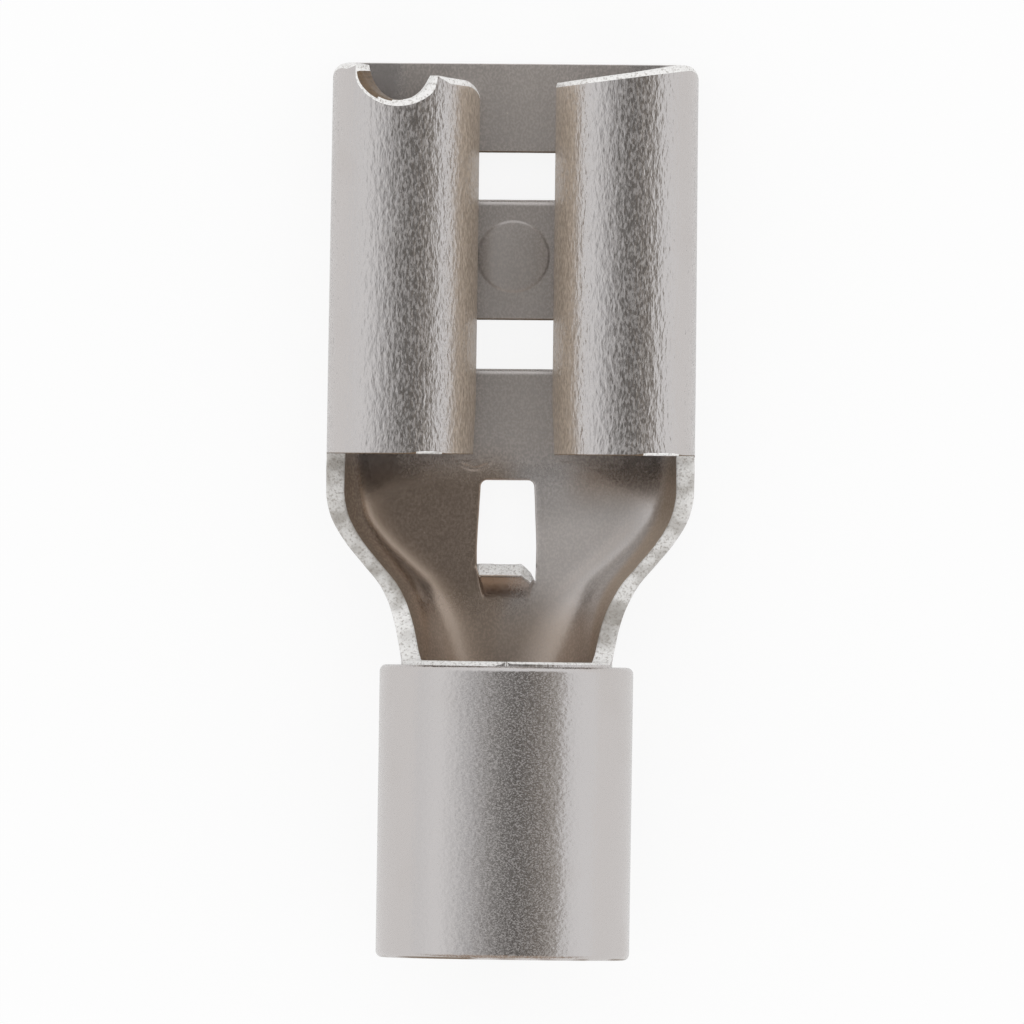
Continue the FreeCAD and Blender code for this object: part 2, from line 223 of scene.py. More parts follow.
def turn_at(far, section):
    """The sheet's slope across: the floor's, the corner's and then the curl's."""
    flat, corner_long, wall, bend, softness, tilt, lean = section
    soft = softness / corner_long
    corner = (soft_ramp((far - flat) / corner_long, soft)
              - soft_ramp((-far - flat) / corner_long, soft))
    trough = tilt * rise(far, 0, 1.6)
    upright = math.pi / 2 - lean
    return trough + (upright - trough) * corner + np.maximum(
        far - flat - corner_long - wall, 0) * bend


print("the neck's floor leans by", round(math.degrees(TROUGH_TILT)), "degrees at its sides")

# %% [markdown]
# Small forms are pressed into the folded floor: a shallow round dimple that holds the tab, a
# faint press line, a half-moon dent, and the wire stop. The stop is a lip that is sheared at its
# front edge only and drawn up out of the floor, so its sides run softly down into the neck.

# %% Forms pressed into the floor
PRESS_LINE = 8.47
PRESS_LINE_RISE = 0.010
DENT_MIDDLE = (-0.78, 8.10)
DENT_RADIUS = 0.50
DENT_HALF = 0.42
DENT_DEEP = 0.022
STOP_ROOT_HALF = 0.50
STOP_WIDENS = 0.160
STOP_SIDE = 0.32
STOP_SIDE_TIGHTENS = 0.29


def dimple_lift(across, along):
    """A flat dome that stands on a small step."""
    sphere = (DIMPLE_RADIUS ** 2 + DIMPLE_RISE ** 2) / (2 * DIMPLE_RISE)
    apart = np.hypot(across, along - DIMPLE_ALONG)
    dome = np.sqrt(np.maximum(sphere ** 2 - apart ** 2, 0)) - (sphere - DIMPLE_RISE)
    step = DIMPLE_STEP * smooth_step((DIMPLE_RADIUS - apart) / DIMPLE_EDGE + 0.5)
    return np.maximum(dome, 0) + step


def tool_marks(across, along):
    """A faint line across the floor, and the rear half of a small ring beside it."""
    line = np.exp(-((along - PRESS_LINE) / 0.03) ** 2) * fall(abs(across), 1.5, 0.5)
    aside, behind = across - DENT_MIDDLE[0], along - DENT_MIDDLE[1]
    ring = np.exp(-((np.hypot(aside, behind) - DENT_RADIUS) / 0.04) ** 2)
    shown = fall(abs(aside), DENT_HALF, 0.15) * (along > 8.2)
    return PRESS_LINE_RISE * line - DENT_DEEP * ring * shown


def stop_share(across, along):
    """1 where the stop is drawn up fully, 0 on the neck's floor beside it."""
    reach = np.clip((STOP_ROOT - along) / (STOP_ROOT - STOP_TIP), 0, 1)
    half = STOP_ROOT_HALF + STOP_WIDENS * reach ** 0.7
    aside = abs(across - NECK_WINDOW_ASIDE)
    return fall(aside, half, STOP_SIDE - STOP_SIDE_TIGHTENS * reach)


def raise_stop(across, along, depth):
    """The height along and over the floor's middle plane where the stop bends up."""
    angle = STOP_ANGLE * stop_share(across, along)
    reach = np.maximum(STOP_ROOT - along, 0)
    bent = np.minimum(reach / STOP_BEND, angle)
    past = reach - bent * STOP_BEND
    ahead = (STOP_BEND - depth) * np.sin(bent) + past * np.cos(bent)
    above = STOP_BEND - (STOP_BEND - depth) * np.cos(bent) + past * np.sin(bent)
    return ahead - reach, above - depth


print("the stop's lip is", round(STOP_ROOT - STOP_TIP, 2), "mm long")

# %% The fold
TURN_STEPS = 96
FLOOR_HALF = 1.7
STOP_HALF = 0.78
SPREAD = 0.028
SPREAD_ENDS = 0.35
ASIDE = 0.021
SKEW = 0.0070
CURL_SHARES = (1.011, 0.976)


def chain(far, depth, section):
    """Where the chain's point is, and how wide the chain's outer face has got on the way."""
    x = np.zeros(len(far))
    z = np.zeros(len(far))
    widest = np.zeros(len(far))
    for number in range(TURN_STEPS):
        turn = turn_at(far * (number + 0.5) / TURN_STEPS, section)
        x += np.cos(turn)
        z += np.sin(turn)
        widest = np.maximum(widest, x * far / TURN_STEPS + HALF * np.sin(turn))
    turn = turn_at(far, section)
    return (x * far / TURN_STEPS - depth * np.sin(turn),
            z * far / TURN_STEPS + depth * np.cos(turn), widest)


def small_flaws(x, y, across, along):
    """The real part isn't quite even: its curls differ and its parts aren't quite in line."""
    x = x * (1 + SPREAD / RECEPTACLE_HALF * smooth_step(along / RECEPTACLE_LONG)
             * np.clip((RECEPTACLE_LONG + SPREAD_ENDS - along) / SPREAD_ENDS, 0, 1))
    share = np.where(across < 0, *CURL_SHARES) - 1
    share = share * rise(abs(across), CURL_START, 0.8) * (along <= RECEPTACLE_LONG)
    x = RECEPTACLE_HALF - (RECEPTACLE_HALF - x) * (1 + share)
    before_barrel = fall(along, 11.9, 0.8)
    x = x * np.sign(across) + ASIDE * (0.55 + 0.45 * rise(along, 0, 8)) * before_barrel
    y = y + SKEW * (x - RECEPTACLE_HALF) * before_barrel
    return x, y


def fold(across, along, depth):
    """Points of the folded sheet in the frame's axes, in millimetres."""
    *section, softness, tilt, lean = section_at(along)
    tilt = tilt * np.where(across > 0, RIGHT_TROUGH, 1)
    is_soft = (across > 0) & (softness > SHARP_BEND + 0.01)
    section = (*section, softness * np.where(is_soft, RIGHT_SOFTNESS, 1), tilt, lean)
    far = abs(across)
    x, z, _ = chain(far, depth, section)
    side_end = np.where(along > RECEPTACLE_LONG, neck_edge(along), CURL_START)
    widest = chain(side_end, depth, section)[2]
    x = x * np.where(along < BARREL_FRONT, through_stations(along)[:, 0] / widest, 1)
    x, y = small_flaws(x, TOTAL_LONG - along, across, along)
    pressed = dimple_lift(across, along) + tool_marks(across, along)
    z += pressed * (far < FLOOR_HALF)
    by_stop = abs(across - NECK_WINDOW_ASIDE) < STOP_HALF
    by_stop &= (along > STOP_TIP - 0.01) & (along < STOP_ROOT)
    ahead, above = raise_stop(across, along, depth)
    return np.stack([x, y + ahead * by_stop, z + above * by_stop + HALF - BARREL], axis=1)


check = fold(np.array([0.0, CURL_END]), np.array([4.0, 4.0]), np.zeros(2))
print("the curl ends", round(float(check[1, 2] - check[0, 2]), 2), "mm over the floor's middle")

# %% [markdown]
# The blank's outline is drawn in the flat. Each run is a short list of points or a formula. The
# blank's own side is always on the left of the line, so that one rule later finds "inwards".

# %% The blank's outline
STEP = 0.075
FINE_STEP = 0.05
HOLE_STEP = 0.03
RELIEF = 0.16
BARREL_FOOT = 0.10


def resample(points, step=STEP):
    """Points at about even steps along straight runs, with every given corner kept."""
    result = []
    for first, last in zip(points[:-1], points[1:]):
        first, last = np.array(first, float), np.array(last, float)
        count = max(1, round(float(np.hypot(*(last - first))) / step))
        result += [first + (last - first) * number / count for number in range(count)]
    return result


def arc(middle, radius, start, end, step=FINE_STEP):
    count = max(3, round(abs(end - start) * radius / step))
    angles = np.linspace(start, end, count + 1)
    return [(middle[0] + radius * math.cos(a), middle[1] + radius * math.sin(a)) for a in angles]


def plan_of(across):
    """How far from the middle plane the curl's outer face is, over a place on the blank."""
    return CURL_MIDDLE + CURL * math.cos((across - CURL_START) / CURL_MID_RADIUS)


def rounded_off(radius, into):
    """How far back a round corner lies, that far into it."""
    return radius - math.sqrt(radius ** 2 - min(into, radius) ** 2) if into > 0 else 0.0


def mouth_corner(plan):
    """How far back the front edge lies near the sides, where the mouth's corners are round."""
    return rounded_off(MOUTH_ROUND, MOUTH_ROUND - (RECEPTACLE_HALF - plan))


def curl_front(across, rounding):
    """How far back the curl's front edge lies: a slant, and a round corner at its inner end."""
    inner = CURL_MIDDLE - CURL
    outer = CURL_MIDDLE + CURL
    plan = plan_of(across)
    past_end = across > CURL_START + CURL_MID_RADIUS * math.pi
    slant = LEAD_IN * (outer - (inner if past_end else plan)) / (outer - inner)
    into = rounding - (0 if past_end else plan - inner)
    return slant + rounded_off(rounding, into) + mouth_corner(plan)


def front_edge(rounding, notched):
    """From the middle of the mouth to the curl's inner end."""
    points = resample([(0.0, 0.0), (FLAT_HALF, 0.0)])
    for across in np.arange(FLAT_HALF, CURL_START - 0.02, FINE_STEP):
        turned = min((across - FLAT_HALF) / (CORNER - HALF), math.pi / 2)
        points.append((across, mouth_corner(FLAT_HALF + CORNER * math.sin(turned))))
    centre = NOTCH_DEPTH - NOTCH_RADIUS
    for across in np.arange(CURL_START, CURL_END + 0.02, FINE_STEP):
        across = min(across, CURL_END)
        along = curl_front(across, rounding)
        if notched:
            reach = NOTCH_RADIUS ** 2 - (plan_of(across) - NOTCH_ACROSS) ** 2
            if reach > 0:
                along = max(along, centre + math.sqrt(reach))
        points.append((across, along))
    return points


def edge_of_side(rounding, notched):
    """One half of the blank's outline, from the middle of the mouth to the wire end."""
    points = front_edge(rounding, notched)
    relief = float(neck_edge(RECEPTACLE_LONG + RELIEF)[0]) + RELIEF
    points += resample([(CURL_END, points[-1][1]), (CURL_END, RECEPTACLE_LONG),
                        (relief, RECEPTACLE_LONG)])[1:]
    points += arc((relief, RECEPTACLE_LONG + RELIEF), RELIEF, -math.pi / 2, -math.pi)
    rows = np.arange(RECEPTACLE_LONG + RELIEF + STEP, BARREL_FRONT - 0.02, 0.06)
    points += [(float(neck_edge(row)[0]), row) for row in rows]
    foot = float(neck_edge(rows[-1])[0]) + BARREL_FOOT
    return points + resample([(foot, BARREL_FRONT), (BARREL_END, BARREL_FRONT),
                              (BARREL_END, TOTAL_LONG), (0.0, TOTAL_LONG)])


right = edge_of_side(0.0, False)
left = [(-across, along) for across, along in edge_of_side(INNER_CORNER, True)]
outline = np.array(right + [(0.0, TOTAL_LONG)] + left[::-1][:-1], float)
print("outline of the blank:", len(outline), "points")

# %% [markdown]
# The windows are holes in the blank: two across the receptacle's floor, and a tapered one in the
# neck, whose rear edge has one corner cut off. Folding later draws that edge up as the wire stop.

# %% The holes
def quarter(across, along, radius, turns):
    """A round corner about that middle, which starts that many quarter turns on."""
    start = turns * math.pi / 2
    return arc((across, along), radius, start, start - math.pi / 2, HOLE_STEP)


def run_on(points, place):
    """The line drawn on, straight to that place."""
    return points + resample([points[-1], place])[1:]


def rounded_window(front, rear, half, radius):
    near, far, side = front + radius, rear - radius, half - radius
    points = run_on(quarter(-side, near, radius, -1), (-half, far))
    points = run_on(points + quarter(-side, far, radius, 2), (side, rear))
    points = run_on(points + quarter(side, far, radius, 1), (half, near))
    points = run_on(points + quarter(side, near, radius, 0), (-side, front))
    return np.array(points, float)


def stop_window():
    """The neck's window. Its rear edge is the front edge of the wire stop."""
    narrow, wide = NECK_WINDOW_HALVES
    radius = NECK_WINDOW_CORNER
    near, side = NECK_WINDOW + radius, narrow - radius
    taper_end = NECK_WINDOW + NECK_WINDOW_TAPER
    points = run_on(quarter(-side, near, radius, -1), (-wide, taper_end))
    points += resample([(-wide, taper_end), (-wide, STOP_TIP), (wide - STOP_CUT[0], STOP_TIP),
                        (wide, STOP_TIP + STOP_CUT[1]), (wide, taper_end)], FINE_STEP)
    points += resample([(wide, taper_end), (narrow, near)])
    points = run_on(points + quarter(side, near, radius, 0), (-side, NECK_WINDOW))
    return np.array(points, float) + (NECK_WINDOW_ASIDE, 0)


holes = [rounded_window(front, rear, WINDOW_HALF, WINDOW_CORNER)
         for front, rear in WINDOWS] + [stop_window()]
print("holes:", [len(hole) for hole in holes], "points")

# %% [markdown]
# A sheared edge is never a knife edge: the punch rolls one side over and leaves the other with a
# fine burr. Each outline therefore gets a few rings. The outer ring is the cut face, and the
# rings inside it climb over a small round to the sheet's surface. The roll is large where the
# sheet shows a bright band: behind the windows, round the mouth and in the notch.

# %% Rings along every cut edge
INSET = 0.17
STOP_INSET = 0.045
SHARP_CORNER = math.radians(20)
RAGGED = 0.005
FINE_ROLL = 0.02
WINDOW_FRONT_ROLL = 0.05
WINDOW_REAR_ROLL = 0.14
MOUTH_ROLL = 0.15
CURL_ROLL = 0.11
NOTCH_ROLL = 0.16
NOTCH_ROWS = (0.30, 1.0)
BURR_ROLL = 0.06
NECK_ROLLS = (0.045, 0.06)
BARREL_ROLL = 0.05
BARREL_OPEN_ROLL = 0.12
LEFT_BURR = (1.72, 0.28)
RIGHT_BURR = (3.10, 0.42)
ON_EDGE = 0.02
CURLED_FROM = CURL_START - 0.3
ROUND_STEPS = 4
noise = np.random.default_rng(11)


def inward(loop):
    """For each point, the step into the sheet that moves both neighbouring edges by one."""
    ahead = np.roll(loop, -1, axis=0) - loop
    ahead /= np.linalg.norm(ahead, axis=1)[:, None]
    normal = np.stack([-ahead[:, 1], ahead[:, 0]], axis=1)
    before = np.roll(normal, 1, axis=0)
    together = 1 + np.sum(normal * before, axis=1)
    return (normal + before) / np.maximum(together, 0.5)[:, None]


def blur(values, times=3):
    for _ in range(times):
        values = (np.roll(values, 1) + 2 * values + np.roll(values, -1)) / 4
    return values


def has_burr(across):
    """The curls' rear ends keep a burr on a short part of their width, where the near-white cut
    finish stays on as a painted highlight.
    """
    middle, half = LEFT_BURR if across < 0 else RIGHT_BURR
    return abs(plan_of(abs(across)) - middle) < half


def rolls(loop, is_window):
    """The round's radius on the inner and the outer face of the sheet, along the loop."""
    across, along = loop.T
    upper = np.full(len(loop), FINE_ROLL)
    lower = np.full(len(loop), FINE_ROLL)
    if is_window:
        upper[along > along.max() - ON_EDGE] = WINDOW_REAR_ROLL
        upper[along < along.min() + ON_EDGE] = WINDOW_FRONT_ROLL
        return blur(upper), blur(lower)
    curled = (abs(across) > CURLED_FROM) & (abs(across) < CURL_END)
    in_notch = curled & (across < 0) & (along > NOTCH_ROWS[0]) & (along < NOTCH_ROWS[1])
    rear_end = curled & (abs(along - RECEPTACLE_LONG) < ON_EDGE)
    burr = np.array([has_burr(place) for place in across])
    in_neck = (along > RECEPTACLE_LONG + 0.1) & (along < BARREL_FRONT - 0.1)
    at_barrel = (abs(along - BARREL_FRONT) < 0.05) & (abs(across) > 3.6)
    open_side = fall(abs(across), BARREL_END, 0.6) * (across < 0)
    for places, roll in (((along < MOUTH_ROUND + ON_EDGE) & ~curled, MOUTH_ROLL),
                         (curled & (along < 2.0), CURL_ROLL), (in_notch, NOTCH_ROLL),
                         (rear_end & burr, BURR_ROLL), (in_neck, NECK_ROLLS[1])):
        lower[places] = roll
    upper[in_neck] = NECK_ROLLS[0]
    lower[at_barrel] = BARREL_ROLL + BARREL_OPEN_ROLL * open_side[at_barrel]
    return blur(upper), blur(lower)


def room(loop):
    """How far the rings may reach in: less beside a corner that sticks out, where they meet."""
    ahead = np.roll(loop, -1, axis=0) - loop
    behind = loop - np.roll(loop, 1, axis=0)
    turn = np.arctan2(behind[:, 0] * ahead[:, 1] - behind[:, 1] * ahead[:, 0],
                      np.sum(behind * ahead, axis=1))
    reach = np.full(len(loop), INSET)
    for corner in loop[turn > SHARP_CORNER]:
        reach = np.minimum(reach, 0.02 + 0.5 * np.hypot(*(loop - corner).T))
    across, along = abs(loop[:, 0] - NECK_WINDOW_ASIDE), loop[:, 1] - STOP_TIP
    by_stop = (across > 0.3) & (across < 0.7) & (along > -0.15) & (along < 0.5)
    reach[by_stop] = STOP_INSET
    return reach


def edge_rings(loop, is_window):
    """Rows of (place, depth) from the inner face, over the cut face, to the outer face."""
    step = inward(loop)
    reach = room(loop)
    upper, lower = [np.minimum(radius, reach * 0.8) for radius in rolls(loop, is_window)]
    ragged = blur(noise.uniform(0, 1, len(loop)), 2) * RAGGED
    turns = np.linspace(0, 1, ROUND_STEPS + 1) * math.pi / 2
    inner = loop + step * reach[:, None]
    rows = [(inner, np.full(len(loop), HALF))]
    for face, radius, wear, order in ((1, upper, ragged, 1), (-1, lower, ragged * 0.5, -1)):
        for turn in turns[::order]:
            shift = radius * (1 - math.sin(turn)) + wear
            level = face * (HALF - radius * (1 - math.cos(turn)))
            rows.append((loop + step * shift[:, None], level))
    return rows + [(inner, np.full(len(loop), -HALF))]


loops = [outline] + holes
print("rings at", len(loops), "cut edges")

# %% [markdown]
# Inside the rings the sheet is filled with triangles. The points lie on a grid that is fine where
# the sheet will be curved, with circles of their own at the dimple, and a constrained
# triangulation joins them to the rings without moving a cut edge.

# %% Fill the blank
DIMPLE_RINGS = (*np.arange(0.09, 0.70, 0.09), *np.arange(0.70, 0.81, 0.0125), 0.87)
DIMPLE_ZONE = 0.93
BORDER_ROOM = 0.035
FLOOR_STEP = 0.20
BEND_STEP = 0.085
LONG_STEP = 0.16
NECK_STEP = 0.075
BARREL_STEPS = (0.10, 0.28)


def lattice(columns, rows):
    across, along = np.meshgrid(columns, rows)
    return np.stack([across.ravel(), along.ravel()], axis=1)


def grid_points():
    """Places on the blank: finer across the curved parts, along the neck and at the stop."""
    curl_columns = np.concatenate([np.arange(0, 3.0, FLOOR_STEP),
                                   np.arange(3.0, CURL_END + 0.2, BEND_STEP)])
    points = np.concatenate([
        lattice(np.concatenate([-columns[::-1], columns[1:]]), rows) for columns, rows in (
            (curl_columns, np.arange(0.0, RECEPTACLE_LONG, LONG_STEP)),
            (np.arange(0, CURL_END, BEND_STEP),
             np.arange(RECEPTACLE_LONG, BARREL_FRONT, NECK_STEP)),
            (np.arange(0, BARREL_END, BARREL_STEPS[0]),
             np.arange(BARREL_FRONT, TOTAL_LONG, BARREL_STEPS[1])))])
    for columns, rows in ((np.arange(-1.6, 1.61, 0.05), np.arange(8.36, 8.72, 0.024)),
                          (np.arange(-0.90, 0.91, 0.02), np.arange(10.3, 11.5, 0.035))):
        covered = (abs(points[:, 0]) < columns[-1] + 0.02) & (
            points[:, 1] > rows[0] - 0.02) & (points[:, 1] < rows[-1] + 0.02)
        points = np.concatenate([points[~covered], lattice(columns, rows)])
    points = points[np.hypot(points[:, 0], points[:, 1] - DIMPLE_ALONG) > DIMPLE_ZONE]
    rings = [np.zeros((1, 2))]
    for radius in DIMPLE_RINGS:
        angles = np.linspace(0, 2 * math.pi, max(8, int(radius * 110)), endpoint=False)
        rings.append(np.stack([np.cos(angles), np.sin(angles)], axis=1) * radius)
    return np.concatenate([points, np.concatenate(rings) + (0, DIMPLE_ALONG)])


def inside_loop(points, loop):
    """Even-odd test of many points against one closed line."""
    inside = np.zeros(len(points), bool)
    for (x0, y0), (x1, y1) in zip(loop, np.roll(loop, -1, axis=0)):
        crosses = (y0 > points[:, 1]) != (y1 > points[:, 1])
        if crosses.any():
            at = x0 + (points[:, 1] - y0) / (y1 - y0 + 1e-30) * (x1 - x0)
            inside ^= crosses & (points[:, 0] < at)
    return inside


def in_sheet(points, borders):
    """True for the points within the outline and in none of its holes."""
    return np.logical_xor.reduce([inside_loop(points, border) for border in borders])


def away_from(points, border_points, least):
    """Points at least that far from all the border's points."""
    kept = np.ones(len(points), bool)
    for place in border_points:
        kept &= np.hypot(*(points - place).T) > least
    return kept


def fill(borders):
    """Triangles between the borders, as places and triples of indices."""
    places = np.concatenate(borders)
    edges = []
    start = 0
    for border in borders:
        count = len(border)
        edges += [(start + i, start + (i + 1) % count) for i in range(count)]
        start += count
    grid = grid_points()
    grid = grid[in_sheet(grid, borders)]
    grid = grid[away_from(grid, places, BORDER_ROOM)]
    everything = np.concatenate([places, grid])
    found, _, faces, origins, _, _ = delaunay_2d_cdt(
        [Vector(point) for point in everything], edges, [], 0, 1e-7, True)
    found = np.array(found)
    faces = np.array([face for face in faces if len(face) == 3])
    middles = found[faces].mean(axis=1)
    return found, faces[in_sheet(middles, borders)], origins


all_rings = [edge_rings(loop, 0 < number < 3) for number, loop in enumerate(loops)]
borders = [rings[0][0] for rings in all_rings]
places, triangles, origins = fill(borders)
print("the blank has", len(places), "places and", len(triangles), "triangles on each face")

# %% [markdown]
# Both faces of the sheet use the same triangles. The rings join them into one closed skin, and
# the fold then carries every point to its place. Three marks are stored with the points, and
# they paint light and shade into the plating: painted shade between the curls and deep in the
# neck, painted highlights on the open floor and on the neck's right side, and brown painted
# shade on the neck's left side, on its walls and towards the barrel.

# %% Where the sheet's finishes and marks lie
CURL_FLANK_TURN = 2.05
NOTCH_DARK_STEP = 0.25
NOTCH_DARK_ROWS = 5
WINDOW_REAR_BARE_SHADE_ROWS = 1
WINDOW_BARE_SHADE_ROWS = 3


def finish_of(loop, level, place):
    """Which finish a face of a ring has: the sheet's faces reach over the small rounds."""
    middle = ROUND_STEPS + 1
    if level == 0:
        return "inside"
    if level > 2 * ROUND_STEPS + 1:
        return "outside"
    across, along = place
    # On the windows' edges the cut face and the rounds beside it get the dark bare finish: bare
    # brass, darkened as painted shade, over more rows on the front edges and sides.
    if 0 < loop < 3:
        bare_shade_rows = WINDOW_REAR_BARE_SHADE_ROWS if along > WINDOWS[loop - 1][1] - 0.1 else WINDOW_BARE_SHADE_ROWS
        return "bare_and_shade" if level >= middle - bare_shade_rows else "inside"
    curled = abs(across) > CURLED_FROM
    if loop == 0 and curled:
        # At the curls' rear ends the dark bare finish paints a thin shadow line, except at the
        # burr. In the notch, the dark rows under the rim are painted shade.
        at_rear = abs(along - RECEPTACLE_LONG) < ON_EDGE
        if at_rear and level > middle and not has_burr(across):
            return "bare_and_shade"
        dark_rows = 3 + round((plan_of(abs(across)) - NOTCH_ACROSS) / NOTCH_DARK_STEP)
        in_notch = across < 0 and NOTCH_ROWS[0] < along < NOTCH_ROWS[1]
        if in_notch and level < middle - 1 + min(dark_rows, NOTCH_DARK_ROWS):
            return "bare_and_shade"
    if loop == 0 and (curled or along > MOUTH_ROUND + ON_EDGE):
        return "cut"
    return "cut" if level == middle else "inside" if level < middle else "outside"


def painted_shade(across, along, depth):
    """Up to 1 where shade is painted in: more of the dull part, in a darker brown, between the
    curls, on the curls' inner flanks and deep in the neck.
    """
    far = abs(across)
    flank = CURL_START + CURL_MID_RADIUS * CURL_FLANK_TURN
    outside = rise(far, flank, 0.55) * (along <= RECEPTACLE_LONG)
    inside = np.max([0.50 * fall(far, 2.6, 0.3) * fall(along, 9.4, 1.5),
                     np.where(across < 0, 0.10, 0.22) * rise(along, 8.0, 1.0),
                     0.60 * rise(along, 10.7, 1.6),
                     0.65 * rise(far, neck_edge(along) - 1.25, 0.35)
                     * (along > RECEPTACLE_LONG)], axis=0)
    return np.where(depth < 0, outside, inside)


def painted_highlight(across, along, depth):
    """Painted highlight: more of the dull part, which renders pale, on the receptacle's floor and
    more so on the neck's right side, with a painted glint along its crease.
    """
    receptacle = fall(along, 9.2, 1.4) * (0.55 + 0.45 * rise(across, -0.4, 0.8))
    patch = rise(along, 9.3, 0.7) * fall(along, 11.6, 0.8)
    ends = rise(along, 8.4, 0.8) * fall(along, 12.3, 1.2)
    flat = through_stations(along)[:, 1]
    # Painted highlight: a glint along the neck's right crease.
    glint = 4.0 * np.exp(-((across - flat - 0.02) / 0.22) ** 2) * patch
    neck = (2.2 + 3.4 * patch) * rise(across, 0, 0.8) * ends + glint
    return np.where(depth > 0, np.maximum(receptacle, neck), 0)


def painted_brown_shade(across, along, depth):
    """Painted shade: 1 where the tin is coloured brown for the shade on the neck's left side, on
    its walls and at its end by the barrel.
    """
    from_top = neck_edge(along) - abs(across)
    darker = np.max([0.8 * fall(across, 0.5, 0.9),
                     fall(from_top, np.where(across < 0, 1.6, 1.25), 0.5),
                     0.65 * rise(along, 10.7, 1.6),
                     0.7 * fall(along, 9.7, 1.0) * rise(across, 0.9, 1.0)], axis=0)
    return np.where(depth > 0, darker * rise(along, 7.9, 1.0), 0)


print("marks on the sheet:", [mark.__name__ for mark in (painted_shade, painted_highlight, painted_brown_shade)])

# %% Build the folded sheet
def sheet_skin():
    """Each point's place and depth in the blank, and the faces sorted by their finish."""
    number_of = {source: found for found, sources in enumerate(origins) for source in sources}
    spots = [places, places]
    depths = [np.full(len(places), HALF), np.full(len(places), -HALF)]
    total = 2 * len(places)
    groups = {"inside": [tuple(face) for face in triangles], "cut": [],
              "outside": [tuple(face[::-1] + len(places)) for face in triangles], "bare_and_shade": []}
    first_of_loop = 0
    for number, rings in enumerate(all_rings):
        count = len(loops[number])
        border = [number_of[first_of_loop + i] for i in range(count)]
        rows = [border]
        for spot, depth in rings[1:-1]:
            spots.append(spot)
            depths.append(depth)
            rows.append(list(range(total, total + count)))
            total += count
        rows.append([place + len(places) for place in border])
        for level, (upper, lower) in enumerate(zip(rows[:-1], rows[1:])):
            for i in range(count):
                j = (i + 1) % count
                group = finish_of(number, level, loops[number][i])
                groups[group].append((upper[i], lower[i], lower[j], upper[j]))
        first_of_loop += count
    across, along = np.concatenate(spots).T.copy()
    return across, along, np.concatenate(depths), groups


def close_up(mesh):
    """Drops loose points and turns every face outwards. Gives the open edges and the volume."""
    work = bmesh.new()
    work.from_mesh(mesh)
    loose = [vertex for vertex in work.verts if not vertex.link_faces]
    bmesh.ops.delete(work, geom=loose, context="VERTS")
    bmesh.ops.recalc_face_normals(work, faces=work.faces)
    work.to_mesh(mesh)
    open_edges = sum(1 for edge in work.edges if len(edge.link_faces) != 2)
    volume = work.calc_volume(signed=True) / MM ** 3
    work.free()
    return open_edges, round(volume, 2)


def sheet_mesh(name):
    across, along, depth, groups = sheet_skin()
    mesh = bpy.data.meshes.new(name)
    faces = [tuple(int(v) for v in face) for group in groups.values() for face in group]
    mesh.from_pydata((fold(across, along, depth) * MM).tolist(), [], faces)
    finishes = np.repeat(np.arange(len(groups)), [len(group) for group in groups.values()])
    mesh.polygons.foreach_set("material_index", finishes)
    for mark in (painted_shade, painted_highlight, painted_brown_shade):
        stored = mesh.attributes.new(mark.__name__, "FLOAT", "POINT")
        stored.data.foreach_set("value", mark(across, along, depth))
    open_edges, volume = close_up(mesh)
    mesh.polygons.foreach_set("use_smooth", np.ones(len(mesh.polygons), bool))
    print(name, len(mesh.polygons), "faces,", open_edges, "open edges,", volume, "mm3")
    return mesh


def add_piece(name, mesh, *materials):
    """An object in the scene with that mesh, and with the materials in the mesh's slots."""
    piece = bpy.data.objects.new(name, mesh)
    bpy.context.scene.collection.objects.link(piece)
    for material in materials:
        mesh.materials.append(material)
    return piece


body_mesh = sheet_mesh("folded_sheet")

# %% [markdown]
# A material is a small network of nodes. One class wraps a socket, so that sums and products
# are written as in ordinary Python, and one method adds any other node. The sky that lights
# the terminal is such a network too.

# %% Write shaders as expressions
class Value:
    """A socket of a material, with the arithmetic that the finishes below use."""

    def __init__(self, finish, socket):
        self.finish = finish
        self.socket = socket

    def output(self, key):
        """Another output of the same node."""
        return Value(self.finish, self.socket.node.outputs[key])

    def math(self, operation, *others):
        return self.finish.node("ShaderNodeMath", {"operation": operation},
                                dict(enumerate((self, *others))))

    def __add__(self, other):
        return self.math("ADD", other)

    def __mul__(self, other):
        return self.math("MULTIPLY", other)

    def __rsub__(self, other):
        return self * -1 + other

    __radd__ = __add__
    __rmul__ = __mul__

    def ramp(self, low, high):
        """0 below low, 1 above high and a soft rise between them."""
        return self.finish.node("ShaderNodeMapRange", {"interpolation_type": "SMOOTHSTEP"},
                                {"Value": self, "From Min": low, "From Max": high})


